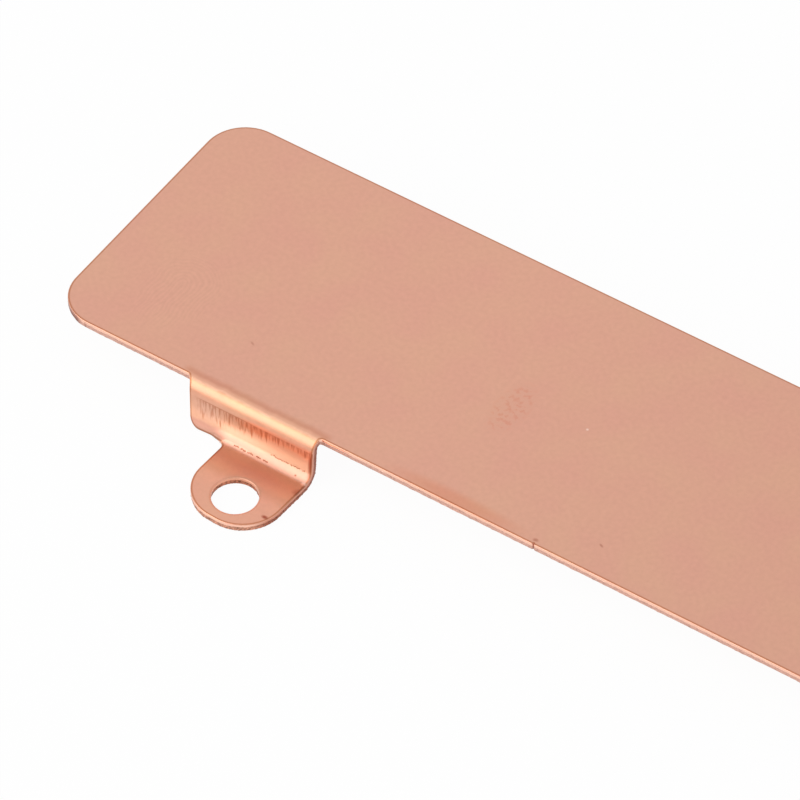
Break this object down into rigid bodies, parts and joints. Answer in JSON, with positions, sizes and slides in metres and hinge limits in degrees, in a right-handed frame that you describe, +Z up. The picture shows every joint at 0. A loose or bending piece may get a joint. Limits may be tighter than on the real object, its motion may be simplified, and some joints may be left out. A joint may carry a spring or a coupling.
{
  "type": "ssd heatsink",
  "caption": "Flat copper heatsink plate for a solid-state drive, stamped and folded from one sheet, with a stepped-down screw ear on one long edge.",
  "frame": {"origin": "centre of the plate's underside, the face that lies on the drive's thermal pad", "axes": "+X along the plate's length, +Y across it and away from the screw ear, +Z up out of the plate's top face"},
  "size_m": [0.07, 0.0293, 0.0042],
  "materials": {
    "copper": "satin"
  },
  "bodies": {
    "root": {"heatsink": "copper"}
  },
  "joints": []
}
